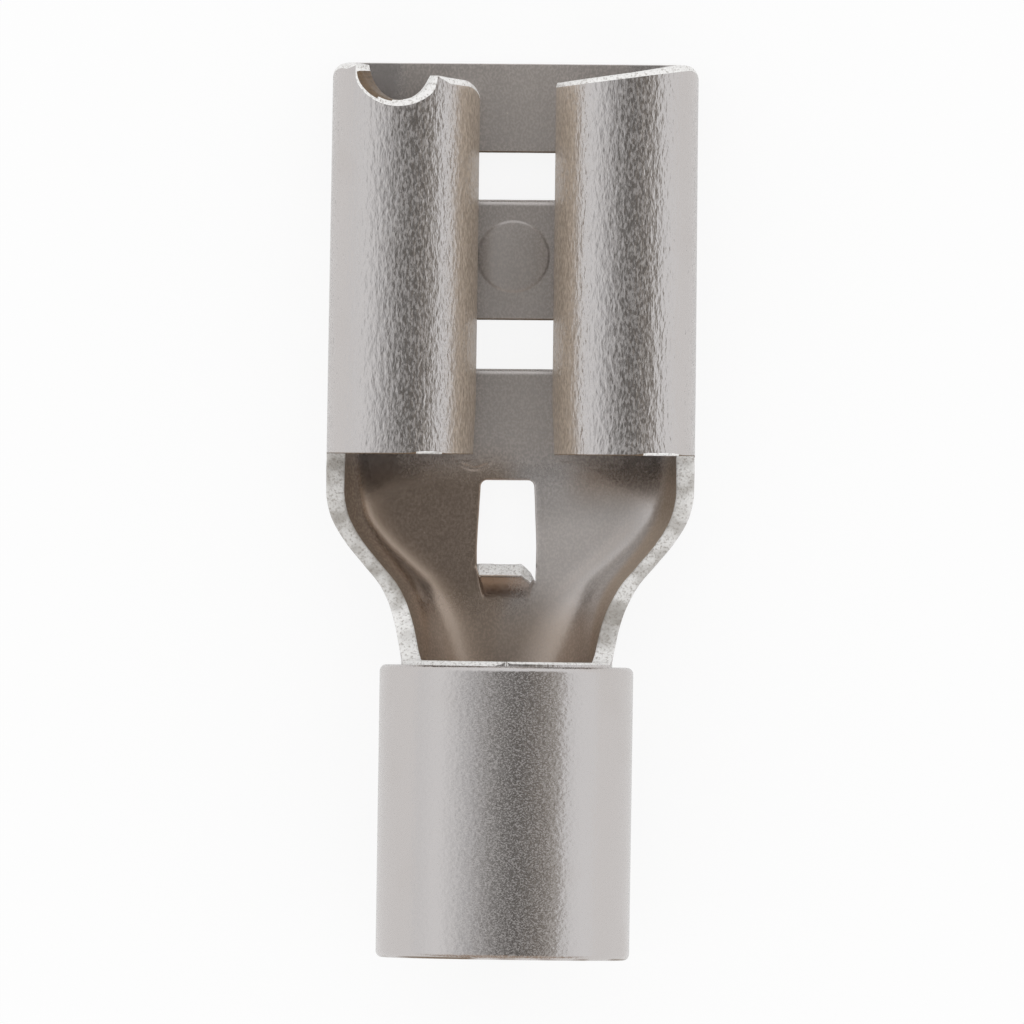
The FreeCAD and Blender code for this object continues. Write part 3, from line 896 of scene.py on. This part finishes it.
class Finish:
    """The nodes of a material or of the sky, under construction."""

    def __init__(self, owner):
        owner.use_nodes = True
        self.owner = owner
        self.tree = owner.node_tree
        self.tree.nodes.clear()

    def node(self, kind, settings=None, inputs=None, output=0):
        made = self.tree.nodes.new(kind)
        for key, setting in (settings or {}).items():
            setattr(made, key, setting)
        for key, value in (inputs or {}).items():
            if isinstance(value, Value):
                self.tree.links.new(value.socket, made.inputs[key])
            else:
                made.inputs[key].default_value = value
        return Value(self, made.outputs[output])

    def place(self):
        return self.node("ShaderNodeTexCoord", output="Object")

    def axis(self, place, letter):
        """Millimetres along one axis of the part. Y starts at its wire end."""
        return self.node("ShaderNodeSeparateXYZ", None, {0: place}).output(letter) * (1 / MM)

    def mark(self, name):
        """A number that was stored at the mesh's points."""
        return self.node("ShaderNodeAttribute", {"attribute_name": name}, output="Fac")

    def grain(self, place, size_mm, detail=2.0, stretch=(1, 1, 1)):
        """Noise with features of about that size. stretch above 1 draws it out on that axis."""
        scale = tuple(1 / (size_mm * MM * share) for share in stretch)
        scaled = self.node("ShaderNodeMapping", None, {"Vector": place, "Scale": scale})
        return self.node("ShaderNodeTexNoise", None,
                         {"Vector": scaled, "Scale": 1.0, "Detail": detail, "Roughness": 0.5})

    def blend(self, factor, first, second):
        """Two colours in one. The node tells its colour sockets apart by number only."""
        return self.node("ShaderNodeMix", {"data_type": "RGBA"},
                         {0: factor, 6: first, 7: second}, 2)

    def bump(self, height, distance_mm, **below):
        return self.node("ShaderNodeBump", None, {"Height": height, "Strength": 1.0,
                                                  "Distance": distance_mm * MM, **below})

    def metal(self, colour, metallic, roughness, bumps):
        return self.node("ShaderNodeBsdfPrincipled", None, {
            "Base Color": colour, "Metallic": metallic, "Roughness": roughness, "Normal": bumps})

    def mixed(self, share, first, second):
        """Two shaders in one: the second has that share."""
        return self.node("ShaderNodeMixShader", None, {0: share, 1: first, 2: second})

    def surface(self, shader, kind="Material"):
        output = self.tree.nodes.new("ShaderNodeOutput" + kind)
        self.tree.links.new(shader.socket, output.inputs["Surface"])
        return self.owner


print("shader helpers ready")

# %% [markdown]
# Tin plating is a soft, slightly warm grey. Two glosses lie over each other in it: most of the
# surface is satin, and a part is so dull that it gathers light from all round. The marks on the
# points paint light and shade into it. The hollows get more of the dull part, in a darker brown,
# as painted shade. The open floor and the neck's right side get more of it too, and the even
# light makes that pale, as a painted highlight. The neck's left side, its walls and its barrel
# end get a brown colour, as painted shade. A pebble grain breaks the reflections up: coarse and
# drawn out on the outer face, which was stretched over the bends, and fine on the inner one.

# %% The finishes
TIN = (0.575, 0.545, 0.533, 1)
TIN_DULL = (0.42, 0.37, 0.33, 1)
# Painted shade: the dull part's darker brown colour in the hollows.
TIN_IN_PAINTED_SHADE = (0.46, 0.38, 0.305, 1)
# Painted shade: the brown of the neck's left side, its walls and its barrel end.
TIN_IN_BROWN_SHADE = (0.40, 0.30, 0.225, 1)
# Painted highlight: the cut faces are near white for the light that they catch.
CUT_PAINTED_HIGHLIGHT = (0.95, 0.94, 0.925, 1)
CUT_WORN = (0.36, 0.335, 0.305, 1)
CUT_DULL = (0.22, 0.185, 0.15, 1)
# Bare brass, darkened as painted shade on the edges that lie in shade.
BARE_BRASS_AND_SHADE = (0.16, 0.105, 0.06, 1)
BARE_DULL_AND_SHADE = (0.07, 0.05, 0.035, 1)
PEBBLE_SIZE = 0.085
CLOUD_SIZE = 1.5
CLOUD_HEIGHT = 0.030
TEAR_SIZE = 0.06
TEAR_HEIGHT = 0.04
WORN_SPECK_SIZE = 0.055
WORN_PATCH_SIZE = 0.60
NECK_REAR = TOTAL_LONG - BARREL_FRONT
NECK_FRONT = TOTAL_LONG - RECEPTACLE_LONG


def tinned(name, pebble, speck_size, specks, drawn, satin, dull_share=0.0):
    finish = Finish(bpy.data.materials.new(name))
    place = finish.place()
    fine = finish.grain(place, speck_size, 2.0, drawn)
    coarse = finish.grain(place, PEBBLE_SIZE, 2.0, drawn)
    slow = finish.grain(place, CLOUD_SIZE, 1.0)
    painted_shade_share = finish.mark("painted_shade")
    colour = finish.blend(slow.ramp(0.5, 0.8) * 0.12, TIN, TIN_DULL)
    # A dark brass brown along the rear rim, in patches.
    bare_and_shade = finish.axis(place, "Y").ramp(0.055, 0.025) * slow.ramp(0.42, 0.55)
    colour = finish.blend(bare_and_shade, colour, BARE_BRASS_AND_SHADE)
    # Painted shade: brown on the neck's left side, on its walls and at the barrel.
    colour = finish.blend(finish.mark("painted_brown_shade"), colour, TIN_IN_BROWN_SHADE)
    bumps = finish.bump(coarse, pebble, Normal=finish.bump(slow, CLOUD_HEIGHT))
    glossy = finish.metal(colour, 1.0, fine * 0.12 + satin, bumps)
    # Painted shade: in the hollows the dull part turns a darker brown.
    dull = finish.metal(finish.blend(painted_shade_share, colour, TIN_IN_PAINTED_SHADE), 0.0, 0.6, bumps)
    # Painted shade and painted highlight: the marks add to the dull part's share, which the even
    # light renders pale on the open floor and on the neck's right side.
    share = (fine.ramp(0.40, 0.66) * specks + painted_shade_share * 0.55
             + finish.mark("painted_highlight") * 0.08 + dull_share)
    return finish.surface(finish.mixed(share, glossy, dull))


def sheared(name, bright, worn, dull):
    """Torn metal in the front colour, which for the cut faces is near white as a painted
    highlight, and worn grey along the neck's long walls.
    """
    finish = Finish(bpy.data.materials.new(name))
    place = finish.place()
    torn = finish.grain(place, TEAR_SIZE, 3.0)
    specks = finish.grain(place, WORN_SPECK_SIZE, 3.0).ramp(0.48, 0.70)
    patches = finish.grain(place, WORN_PATCH_SIZE, 2.0).ramp(0.38, 0.62)
    along = finish.axis(place, "Y")
    across = finish.axis(place, "X")
    in_neck = along.ramp(NECK_REAR + 0.15, NECK_REAR + 0.60) * along.ramp(
        NECK_FRONT + 0.05, NECK_FRONT - 0.10)
    on_walls = in_neck * across.math("ABSOLUTE").ramp(0.9, 1.2)
    left = across.ramp(1.0, -1.0)
    near_barrel = along.ramp(NECK_REAR + 1.6, NECK_REAR + 0.7)
    wear = on_walls * (patches * 0.45 + left * 0.20 + near_barrel * (0.35 - left * 0.9) + 0.25)
    wear = wear + along.ramp(0.4, 0.2) * (patches * 0.4 + 0.6)
    colour = finish.blend(wear, bright, worn)
    colour = finish.blend(specks * 0.55, colour, dull)
    return finish.surface(finish.metal(colour, 0.0, specks * 0.10 + 0.34,
                                       finish.bump(torn, TEAR_HEIGHT)))


inside_tin = tinned("tinned_inside", pebble=0.002, speck_size=0.045, specks=0.15,
                    drawn=(1, 1.4, 1), satin=0.18, dull_share=0.01)
outside_tin = tinned("tinned_outside", pebble=0.025, speck_size=0.045, specks=0.32,
                     drawn=(1, 2.5, 1), satin=0.10)
tube_tin = tinned("sleeve_tin", pebble=0.010, speck_size=0.030, specks=0.34,
                  drawn=(1.3, 1, 1.3), satin=0.10)
cut_metal = sheared("sheared_edge", CUT_PAINTED_HIGHLIGHT, CUT_WORN, CUT_DULL)
bare_and_shade_metal = sheared("bare_and_shaded_edge", BARE_BRASS_AND_SHADE, BARE_BRASS_AND_SHADE, BARE_DULL_AND_SHADE)
print("finishes:", [made.name for made in bpy.data.materials])

# %% The terminal body
body = add_piece("terminal_sheet", body_mesh, inside_tin, cut_metal, outside_tin, bare_and_shade_metal)
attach(body, "root")
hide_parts("terminal_body")
print("terminal_sheet stands for terminal_body")

# %% [markdown]
# The crimp sleeve follows a rule: one small profile swept round an axis. Geometry nodes make it
# from a rectangle whose corners are rounded, more outside than in the bore, and a circle.

# %% The crimp sleeve
SLEEVE_CLEARANCE = 0.02
SLEEVE_BORE = BARREL + SLEEVE_CLEARANCE
SLEEVE_WALL = 0.43
SLEEVE_LONG = 6.20
SLEEVE_EDGE = 0.14
SLEEVE_BORE_EDGE = 0.06
SLEEVE_AROUND = 160
SLEEVE_EDGE_STEPS = 8


def sleeve_tree():
    tree = bpy.data.node_groups.new("swept_sleeve", "GeometryNodeTree")
    for name, kind, default in (
            ("Length", "Float", SLEEVE_LONG * MM), ("Bore Radius", "Float", SLEEVE_BORE * MM),
            ("Wall", "Float", SLEEVE_WALL * MM), ("Outer Edge Radius", "Float", SLEEVE_EDGE * MM),
            ("Bore Edge Radius", "Float", SLEEVE_BORE_EDGE * MM),
            ("Around", "Int", SLEEVE_AROUND), ("Finish", "Material", None)):
        tree.interface.new_socket(name, in_out="INPUT",
                                  socket_type="NodeSocket" + kind).default_value = default
    tree.interface.new_socket("Geometry", in_out="OUTPUT", socket_type="NodeSocketGeometry")

    def add(kind, settings=None, **inputs):
        """A node with its inputs set by name, or by number as n0, n1 and so on."""
        made = tree.nodes.new(kind)
        for key, setting in (settings or {}).items():
            setattr(made, key, setting)
        for key, value in inputs.items():
            socket = made.inputs[int(key[1:]) if key[1:].isdigit() else key]
            if isinstance(value, bpy.types.NodeSocket):
                tree.links.new(value, socket)
            else:
                socket.default_value = value
        return made.outputs[0]

    given = tree.nodes.new("NodeGroupInput").outputs
    profile = add("GeometryNodeCurvePrimitiveQuadrilateral", {"mode": "RECTANGLE"},
                  Width=given["Wall"], Height=given["Length"])
    place = add("ShaderNodeSeparateXYZ", None, Vector=add("GeometryNodeInputPosition"))
    outside = add("FunctionNodeCompare", {"operation": "GREATER_THAN", "data_type": "FLOAT"},
                  n0=place, n1=0.0)
    radius = add("GeometryNodeSwitch", {"input_type": "FLOAT"}, Switch=outside,
                 n1=given["Bore Edge Radius"], n2=given["Outer Edge Radius"])
    rounded = add("GeometryNodeFilletCurve", {"mode": "POLY"}, Curve=profile,
                  Count=SLEEVE_EDGE_STEPS, Radius=radius)
    middle = add("ShaderNodeMath", {"operation": "MULTIPLY_ADD"},
                 n0=given["Wall"], n1=0.5, n2=given["Bore Radius"])
    circle = add("GeometryNodeCurvePrimitiveCircle", {"mode": "RADIUS"},
                 Resolution=given["Around"], Radius=middle)
    swept = add("GeometryNodeCurveToMesh", None, Curve=circle, n1=rounded)
    half = add("ShaderNodeMath", {"operation": "MULTIPLY"}, n0=given["Length"], n1=0.5)
    shift = add("ShaderNodeCombineXYZ", None, Y=half)
    moved = add("GeometryNodeTransform", None, Geometry=swept,
                Rotation=(math.pi / 2, 0, 0), Translation=shift)
    smooth = add("GeometryNodeSetShadeSmooth", None, Geometry=moved)
    painted = add("GeometryNodeSetMaterial", None, Geometry=smooth, Material=given["Finish"])
    tree.links.new(painted, tree.nodes.new("NodeGroupOutput").inputs[0])
    return tree


def grown(name, tree, **inputs):
    """The plain mesh that a geometry node tree makes, with its modifier gone again."""
    holder = add_piece(name, bpy.data.meshes.new(name))
    modifier = holder.modifiers.new("nodes", "NODES")
    modifier.node_group = tree
    for item in tree.interface.items_tree:
        if item.in_out == "INPUT" and item.name in inputs:
            modifier[item.identifier] = inputs[item.name]
    shown = holder.evaluated_get(bpy.context.evaluated_depsgraph_get())
    mesh = bpy.data.meshes.new_from_object(shown)
    bpy.data.objects.remove(holder)
    return mesh


sleeve_mesh = grown("sleeve_form", sleeve_tree(), Finish=tube_tin)
sleeve = add_piece("drawn_sleeve", sleeve_mesh)
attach(sleeve, "root")
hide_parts("crimp_sleeve")
sleeve_box = [max(v.co[i] for v in sleeve_mesh.vertices) / MM for i in range(3)]
print("drawn_sleeve:", len(sleeve_mesh.polygons), "faces, reaches", np.round(sleeve_box, 3))

# %% [markdown]
# The terminal lies as it comes to rest: on the sleeve's front edge and on the mouth's lower
# edge. The floor leans by that small angle, because the model keeps its own straight axes.

# %% Floor
SLEEVE_RADIUS = SLEEVE_BORE + SLEEVE_WALL
REST_LEAN = math.atan2(SLEEVE_RADIUS - BARREL, TOTAL_LONG - SLEEVE_LONG)
FLOOR_REACH = 400.0
FLOOR_GAP = 0.002
FLOOR_GREY = 0.88
FLOOR_WHITE = 0.88
FLOOR_MIRRORED_WHITE = 0.6


def floor_material():
    """Paper that is nearly white to the camera, and a little darker in the metal's mirror."""
    finish = Finish(bpy.data.materials.new("pale_floor"))
    ray = finish.node("ShaderNodeLightPath")
    seen = ray.output("Is Camera Ray") + ray.output("Is Transmission Ray")
    share = seen * FLOOR_WHITE + ray.output("Is Glossy Ray") * FLOOR_MIRRORED_WHITE
    paper = finish.node("ShaderNodeBsdfDiffuse", None, {"Color": (*[FLOOR_GREY] * 3, 1)})
    white = finish.node("ShaderNodeEmission", None, {"Color": (1, 1, 1, 1), "Strength": 1.0})
    return finish.surface(finish.mixed(share, paper, white))


def floor_corner(x, y):
    along = y * FLOOR_REACH + TOTAL_LONG / 2
    level = -BARREL + (along - TOTAL_LONG) * math.tan(REST_LEAN) - FLOOR_GAP
    return x * FLOOR_REACH * MM, along * MM, level * MM


floor_mesh = bpy.data.meshes.new("floor")
corners = [floor_corner(x, y) for x, y in ((-1, -1), (1, -1), (1, 1), (-1, 1))]
floor_mesh.from_pydata(corners, [], [(0, 1, 2, 3)])
floor = add_piece("floor", floor_mesh, floor_material())
print("the floor leans by", round(math.degrees(REST_LEAN), 2), "degrees")

# %% [markdown]
# The photograph was taken in a light tent. Everything around the terminal is white and even,
# and only the part straight above it, where the camera looks in, is darker: it begins softly on
# the left and ends sharply on the right. Every face of bright metal that looks up shows it. A
# sky whose brightness depends on the direction alone does this.

# %% Light
BRIGHT = (0.97, 0.985, 1.0)
BEHIND = (0.46, 0.37, 0.30)
TENT_STOPS = (
    (-90, 0.92, BRIGHT),
    (-62, 1.00, BRIGHT),
    (-50, 0.87, BRIGHT),
    (-34, 0.65, BRIGHT),
    (-20, 0.45, (1.0, 1.0, 1.0)),
    (-10, 0.31, (1.0, 0.99, 0.97)),
    (2, 0.21, (1.0, 0.98, 0.95)),
    (13, 0.165, (1.0, 0.96, 0.91)),
    (24, 0.22, (1.0, 0.94, 0.87)),
    (37, 0.28, (1.0, 0.93, 0.85)),
    (49, 0.45, (1.0, 0.96, 0.90)),
    (60, 0.92, BRIGHT),
    (75, 1.00, BRIGHT),
)


def light_tent():
    """Bands of brightness from left to right, which give way to even light at both ends."""
    world = bpy.data.worlds.new("light_tent")
    bpy.context.scene.world = world
    world.cycles.sampling_method = "NONE"
    tent = Finish(world)
    direction = tent.node("ShaderNodeSeparateXYZ", None, {0: tent.node("ShaderNodeTexCoord")})
    angle = direction.math("ARCTAN2", direction.output("Z"))
    band = tent.node("ShaderNodeValToRGB", None, {0: angle * (0.5 / math.pi) + 0.5})
    ramp = band.socket.node.color_ramp
    ramp.interpolation = "EASE"
    for number, (degrees, level, tint) in enumerate(TENT_STOPS):
        stop = ramp.elements[number] if number < 2 else ramp.elements.new(1.0)
        stop.position = 0.5 + degrees / 360
        stop.color = (*[level * part for part in tint], 1)
    forward = direction.output("Y")
    sky = tent.blend(forward.ramp(0.28, 0.80), band, (*BRIGHT, 1))
    sky = tent.blend((forward * -1).ramp(0.35, 0.85), sky, (*BEHIND, 1))
    ray = tent.node("ShaderNodeLightPath")
    even = (ray.output("Is Camera Ray") + ray.output("Is Transmission Ray")
            + ray.output("Is Diffuse Ray"))
    shown = tent.blend(even, sky, (1, 1, 1, 1))
    tent.surface(tent.node("ShaderNodeBackground", None, {"Color": shown, "Strength": 1.0}),
                 "World")


light_tent()
print("the tent is lit by", len(TENT_STOPS), "bands")

# %% [markdown]
# The camera looks straight down from far away with a long lens, as for a catalogue picture.
# Its frame is the photograph's: a square, with the terminal turned by less than one degree.

# %% Camera
PHOTO_SIDE = 1024
PIXEL_MM = 0.021175
VIEW_FROM = 950.0
PHOTO_TURN = math.radians(0.85)
PHOTO_MOUTH = (515.55, 61.6)
SENSOR = 36.0


def place_camera():
    data = bpy.data.cameras.new("camera")
    camera = bpy.data.objects.new("camera", data)
    bpy.context.scene.collection.objects.link(camera)
    bpy.context.scene.camera = camera
    data.sensor_width = SENSOR
    data.lens = SENSOR / (PHOTO_SIDE * PIXEL_MM) * VIEW_FROM
    data.clip_start = 0.01
    data.clip_end = 10.0
    right = (PHOTO_SIDE / 2 - PHOTO_MOUTH[0]) * PIXEL_MM
    down = (PHOTO_SIDE / 2 - PHOTO_MOUTH[1]) * PIXEL_MM
    across = right * math.cos(PHOTO_TURN) + down * math.sin(PHOTO_TURN)
    along = TOTAL_LONG - down * math.cos(PHOTO_TURN) + right * math.sin(PHOTO_TURN)
    camera.location = (across * MM, along * MM, VIEW_FROM * MM)
    camera.rotation_euler = (0, 0, PHOTO_TURN)
    bpy.context.scene.view_settings.view_transform = "Standard"
    return camera


camera = place_camera()
print("camera over", [round(value / MM, 2) for value in camera.location])
